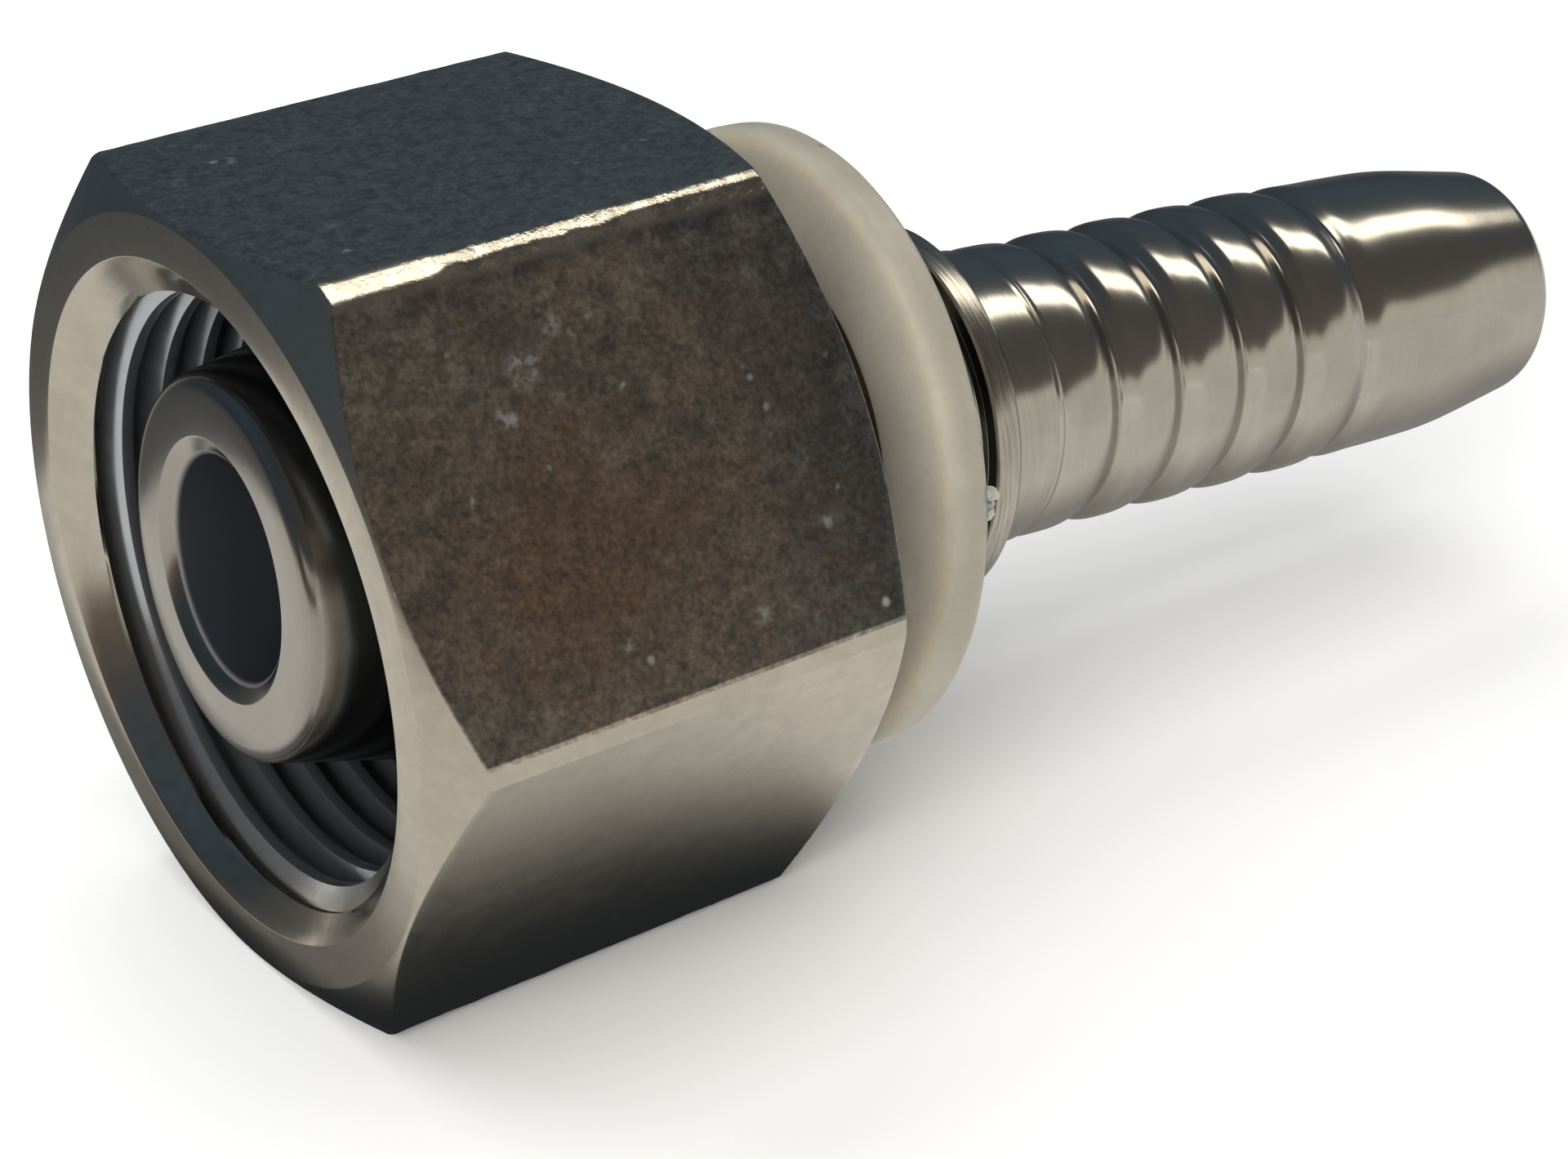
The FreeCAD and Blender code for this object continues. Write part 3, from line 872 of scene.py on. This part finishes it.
def floor_card():
    """What reflections see of the floor: a painted reflection, pale, with painted shadow dark close to where the nut
    stands.
    """
    me = bpy.data.meshes.new("card_floor")
    zf = -13.505
    me.from_pydata([tuple(Vector(c) * MM) for c in ((-300, -300, zf), (300, -300, zf), (300, 40, zf), (-300, 40, zf))],
                   [], [(0, 1, 2, 3)])
    o = bpy.data.objects.new("card_floor", me)
    bpy.context.scene.collection.objects.link(o)
    t = Tree("card_floor")
    x, y, z = t.separate(t.co)[:3]
    dx = t.math("MAXIMUM", t.math("SUBTRACT", t.math("ABSOLUTE", t.math("SUBTRACT", x, 0.0093)), 0.0093), 0.0)
    dy = t.math("MAXIMUM", t.math("SUBTRACT", t.math("ABSOLUTE", y), 0.0078), 0.0)
    dx = t.math("MULTIPLY", dx, t.ramp(t.math("ADD", t.math("MULTIPLY", x, 50.0), 0.5), [(0.45, 1.0), (0.55, 0.50)]))
    dx = t.math("MULTIPLY", dx, 2.5)
    lag = t.ramp(t.math("MULTIPLY", x, 40.0), [(0.10, 1.0), (0.48, 0.84), (0.68, 0.45), (0.85, 0.0)])
    lag = t.math("SUBTRACT", t.math("MULTIPLY", lag, 0.0034), 0.0011)
    dy = t.math("MAXIMUM", t.math("SUBTRACT", dy, lag), 0.0)
    dist = t.math("SQRT", t.math("ADD", t.math("MULTIPLY", dx, dx), t.math("MULTIPLY", dy, dy)))
    f = t.ramp(t.math("MULTIPLY", dist, 1000.0 / 16.0),
               [(0.0, (0.028, 0.033, 0.038)), (0.09, (0.06, 0.064, 0.066)), (0.18, (0.24, 0.235, 0.222)),
                (0.255, (0.58, 0.565, 0.525)), (0.345, (0.90, 0.875, 0.815)), (0.56, (0.985, 0.96, 0.895))])
    px = t.ramp(t.math("MULTIPLY", t.math("ADD", x, 0.010), 80.0), [(0.22, 0.0), (0.46, 1.0), (0.79, 1.0), (0.81, 0.0)])
    py = t.ramp(t.math("MULTIPLY", t.math("ADD", y, 0.012), 100.0), [(0.22, 0.0), (0.50, 1.0)])
    # painted shadow on the floor in front of the mouth
    f = t.mix(t.math("MULTIPLY", px, py), f, t.mix(1.0, f, (0.235, 0.232, 0.225), "DARKEN"))
    yy = t.math("MULTIPLY", t.math("ADD", y, 0.020), 20.0)                     # 0 at y -20, 1 at y +30
    # painted shadow of the tail on the floor behind it
    shade = t.ramp(yy, [(0.14, 0.0), (0.32, 0.80), (0.44, 1.0), (0.62, 1.0), (0.95, 0.2)])
    along = t.math("MULTIPLY", t.ramp(t.math("MULTIPLY", x, 10.0), [(0.24, 0.0), (0.30, 1.0)]),
                   t.ramp(t.math("MULTIPLY", x, 10.0), [(0.66, 1.0), (0.78, 0.0)]))
    f = t.mix(t.math("MULTIPLY", t.math("MULTIPLY", shade, along), 0.80), f, (0.10, 0.104, 0.110))
    # painted shade: the floor's reflection grows darker further along the tail
    f = t.mix(t.ramp(t.math("MULTIPLY", x, 10.0), [(0.40, 0.0), (0.62, 0.16)]), f, (0.22, 0.22, 0.22))
    em = t.nt.nodes.new("ShaderNodeEmission")
    t.link(f, em.inputs["Color"])
    t.link(em.outputs[0], t.out.inputs["Surface"])
    t.nt.nodes.remove(t.b)
    me.materials.append(t.mat)
    o.visible_camera = False
    o.visible_diffuse = False
    o.visible_shadow = False
    o.visible_transmission = False
    o.visible_volume_scatter = False


floor_card()

# dark card behind the fitting, a brown one at the horizon beyond the mouth
card("card_back", [(-170, 40, -13.4), (170, 40, -13.4), (170, 60, 150), (-170, 60, 150)],
     (0.180, 0.178, 0.172), (0.058, 0.076, 0.096), (0.080, 0.115, 0.150), -13.4, 34)
card("card_mouth", [(-125, -190, -13.4), (-125, 40, -13.4), (-125, 40, 12), (-125, -190, 12)],
     (0.20, 0.15, 0.11), (0.17, 0.13, 0.10), (0.12, 0.10, 0.085), -13.4, 12)

w = bpy.data.worlds.new("studio")
bpy.context.scene.world = w
w.use_nodes = True
nt = w.node_tree
nt.nodes.clear()


def wnode(kind, **sock):
    nd = nt.nodes.new(kind)
    for k_, v_ in sock.items():
        if isinstance(v_, bpy.types.NodeSocket):
            nt.links.new(v_, nd.inputs[k_])
        else:
            nd.inputs[k_].default_value = v_
    return nd


wo = nt.nodes.new("ShaderNodeOutputWorld")
bg = nt.nodes.new("ShaderNodeBackground")
tc = nt.nodes.new("ShaderNodeTexCoord")
sp = nt.nodes.new("ShaderNodeSeparateXYZ")
nt.links.new(tc.outputs["Generated"], sp.inputs[0])


def wrange(sock, lo_, hi_):
    m = nt.nodes.new("ShaderNodeMapRange")
    m.interpolation_type = "SMOOTHSTEP"
    m.inputs["From Min"].default_value = lo_
    m.inputs["From Max"].default_value = hi_
    nt.links.new(sock, m.inputs["Value"])
    return m.outputs[0]


rp = nt.nodes.new("ShaderNodeValToRGB")
mr = nt.nodes.new("ShaderNodeMapRange")
mr.inputs["From Min"].default_value = -1.0
mr.inputs["From Max"].default_value = 1.0
nt.links.new(sp.outputs["Y"], mr.inputs["Value"])
nt.links.new(mr.outputs[0], rp.inputs["Fac"])
els = rp.color_ramp.elements
els[0].position = 0.0
els[0].color = (0.165, 0.152, 0.138, 1)
els[1].position = 1.0
els[1].color = (0.070, 0.115, 0.170, 1)
m_ = els.new(0.33)
m_.color = (0.118, 0.114, 0.110, 1)
m_ = els.new(0.5)
m_.color = (0.085, 0.105, 0.130, 1)
# pale band near the horizon on the side that the camera stands on
low_band = wrange(sp.outputs["Z"], 0.245, 0.205)
side_band = wrange(sp.outputs["Y"], -0.10, -0.45)
mul = nt.nodes.new("ShaderNodeMath")
mul.operation = "MULTIPLY"
nt.links.new(low_band, mul.inputs[0])
nt.links.new(side_band, mul.inputs[1])
mixw = nt.nodes.new("ShaderNodeMix")
mixw.data_type = "RGBA"
nt.links.new(mul.outputs[0], mixw.inputs[0])
nt.links.new(rp.outputs[0], mixw.inputs[6])
mixw.inputs[7].default_value = (0.90, 0.87, 0.79, 1)
nt.links.new(mixw.outputs[2], bg.inputs[0])
nt.links.new(bg.outputs[0], wo.inputs[0])

bpy.context.scene.view_settings.view_transform = "Standard"
